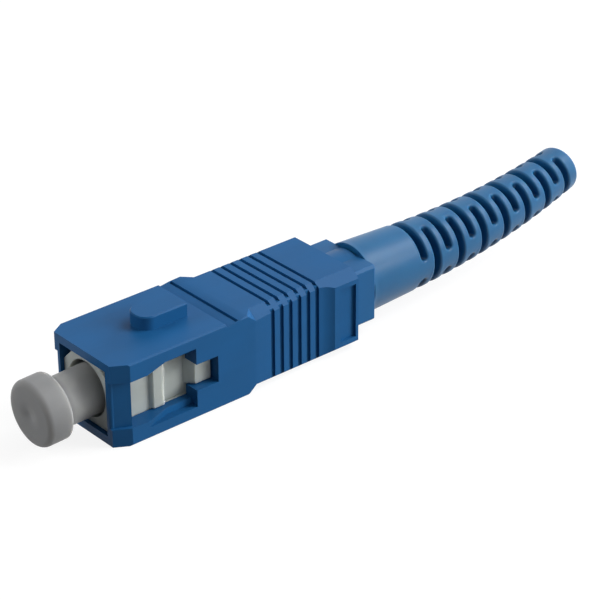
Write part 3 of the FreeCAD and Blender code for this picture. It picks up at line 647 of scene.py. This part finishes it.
gate_floor = CAP_FRONT + GATE_DEPTH
mouth_x = CAP_NECK_REAR - CAP_MOUTH_ROUND
cap_profile = np.concatenate([
    [[gate_floor, 0], [gate_floor, GATE_R - GATE_DEPTH], [CAP_FRONT, GATE_R],
     [CAP_FRONT, CAP_HEAD_R / 2]],
    arc(CAP_FRONT + CAP_FRONT_ROUND, CAP_HEAD_R - CAP_FRONT_ROUND, CAP_FRONT_ROUND, 180, 90, 9),
    arc(CAP_HEAD_REAR - CAP_REAR_ROUND, CAP_HEAD_R - CAP_REAR_ROUND, CAP_REAR_ROUND, 90, 0, 7),
    arc(CAP_HEAD_REAR + CAP_FILLET, CAP_NECK_R + CAP_FILLET, CAP_FILLET, 180, 270, 5),
    arc(mouth_x, CAP_NECK_R - CAP_MOUTH_ROUND, CAP_MOUTH_ROUND, 90, 0, 5),
    arc(mouth_x, CAP_BORE_R + CAP_MOUTH_ROUND, CAP_MOUTH_ROUND, 0, -90, 5),
    [[CAP_BORE_END, CAP_BORE_R], [CAP_BORE_END, 0], [gate_floor, 0]],
])
natural = plastic("natural polyethylene", CAP_NATURAL, shine=0.3, roughness=0.44, grain=(0.2, 0.35),
                  marks=(0.04, 0.02, 0.1))
# The cap's neck is painted paler than its head: painted light where the lamps leave it in shade.
cap = skin_mesh("cap_moulding", [drooped(spun(cap_profile))],
                painted_lit_neck(milky(natural, 1.0, CAP_MILKY_DEPTH)))
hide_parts("dust_cap")
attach(cap, "cap")


# Studio: a pale floor under the sleeve, an even sky and six soft lamps.
# The camera stands where the photograph's camera stood.
CAMERA_AZIMUTH = math.radians(-40.273)
CAMERA_ELEVATION = math.radians(28.636)
CAMERA_ROLL = math.radians(-0.381)
CAMERA_TARGET = Vector((22.0, -0.887, 1.224)) * MM
CAMERA_DISTANCE = 210.87 * MM
CAMERA_NEAREST = 10 * MM
FOCAL_PIXELS = 2522.648
AXIS_PIXEL = (302.135, 292.458)
IMAGE_SIZE = 600
SENSOR_WIDTH = 36
LAMP_DISTANCE = 0.5
SKY_LIT = (0.18, 0.18, 0.185)
WHITE = (1, 1, 1, 1)
PAPER_WHITE = (0.18, 0.18, 0.18)
PAPER_ROUGHNESS = 0.9
PAPER_GLOW = 0.86
FLOOR_REACH = 1.5

look = Vector((-math.sin(CAMERA_AZIMUTH) * math.cos(CAMERA_ELEVATION),
               math.cos(CAMERA_AZIMUTH) * math.cos(CAMERA_ELEVATION), -math.sin(CAMERA_ELEVATION)))
level = Vector((math.cos(CAMERA_AZIMUTH), math.sin(CAMERA_AZIMUTH), 0))
upright = level.cross(look)
right = math.cos(CAMERA_ROLL) * level + math.sin(CAMERA_ROLL) * upright
up = right.cross(look)
eye = bpy.data.cameras.new("camera")
eye.sensor_width = SENSOR_WIDTH
eye.lens = FOCAL_PIXELS / IMAGE_SIZE * eye.sensor_width
eye.shift_x = (IMAGE_SIZE / 2 - AXIS_PIXEL[0]) / IMAGE_SIZE
eye.shift_y = (AXIS_PIXEL[1] - IMAGE_SIZE / 2) / IMAGE_SIZE
eye.clip_start = CAMERA_NEAREST
camera = bpy.data.objects.new("camera", eye)
axes = Matrix((right, up, -look)).transposed().to_4x4()
camera.matrix_world = Matrix.Translation(CAMERA_TARGET - look * CAMERA_DISTANCE) @ axes
bpy.context.scene.collection.objects.link(camera)
bpy.context.scene.camera = camera


def soft_lamp(name, towards, size, power, in_gloss=False):
    """A square soft lamp in one direction from the plug, which shows in its gloss or only lights it."""
    lamp = bpy.data.lights.new(name, "AREA")
    lamp.size = size
    lamp.energy = power
    stand = bpy.data.objects.new(name, lamp)
    stand.location = CAMERA_TARGET + Vector(towards).normalized() * LAMP_DISTANCE
    stand.rotation_euler = Vector(towards).to_track_quat("Z", "Y").to_euler()
    stand.visible_glossy = in_gloss
    bpy.context.scene.collection.objects.link(stand)


soft_lamp("key lamp", (0.567, -0.311, 0.761), size=0.24, power=1.3, in_gloss=True)
soft_lamp("end lamp", (0.94, 0.28, 0.18), size=0.22, power=3.2)
soft_lamp("sheen lamp", (0.567, -0.66, 0.42), size=0.16, power=0.6, in_gloss=True)
soft_lamp("side lamp", (0.78, -0.58, 0.25), size=0.22, power=1.7)
soft_lamp("fill lamp", (0.25, -1.0, 0.30), size=0.3, power=0.38)
soft_lamp("front lamp", (-0.8, 0.45, 0.5), size=0.22, power=0.9)


def seen_ray(tree):
    """A factor that is 1 for what the camera, mirrors and glass see, and 0 for the light given off."""
    path = placed(tree, "ShaderNodeLightPath").outputs
    either = maths(tree, "MAXIMUM", path["Is Camera Ray"], path["Is Glossy Ray"])
    return maths(tree, "MAXIMUM", either, path["Is Transmission Ray"])


sky = bpy.data.worlds.new("sky")
sky.use_nodes = True
sky_tree = sky.node_tree
sky_mix = placed(sky_tree, "ShaderNodeMix", {
    "Factor": seen_ray(sky_tree), "A": (*SKY_LIT, 1), "B": WHITE}, data_type="RGBA")
sky_tree.links.new(sky_mix.outputs["Result"], sky_tree.nodes["Background"].inputs["Color"])
bpy.context.scene.world = sky

paper = bpy.data.materials.new("pale paper")
paper.use_nodes = True
paper_tree = paper.node_tree
paper_shader = paper_tree.nodes["Principled BSDF"].inputs
paper_shader["Base Color"].default_value = (*PAPER_WHITE, 1)
paper_shader["Roughness"].default_value = PAPER_ROUGHNESS
paper_shader["Specular IOR Level"].default_value = 0
paper_shader["Emission Color"].default_value = WHITE
paper_tree.links.new(maths(paper_tree, "MULTIPLY", seen_ray(paper_tree), PAPER_GLOW),
                     paper_shader["Emission Strength"])
floor_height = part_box("coupling_sleeve")[0].z
floor_mesh = bpy.data.meshes.new("floor")
floor_mesh.from_pydata([(x * FLOOR_REACH, y * FLOOR_REACH, floor_height)
                        for x, y in ((-1, -1), (1, -1), (1, 1), (-1, 1))], [], [(0, 1, 2, 3)])
floor_mesh.materials.append(paper)
floor = bpy.data.objects.new("floor", floor_mesh)
bpy.context.scene.collection.objects.link(floor)

bpy.context.scene.view_settings.view_transform = "Standard"
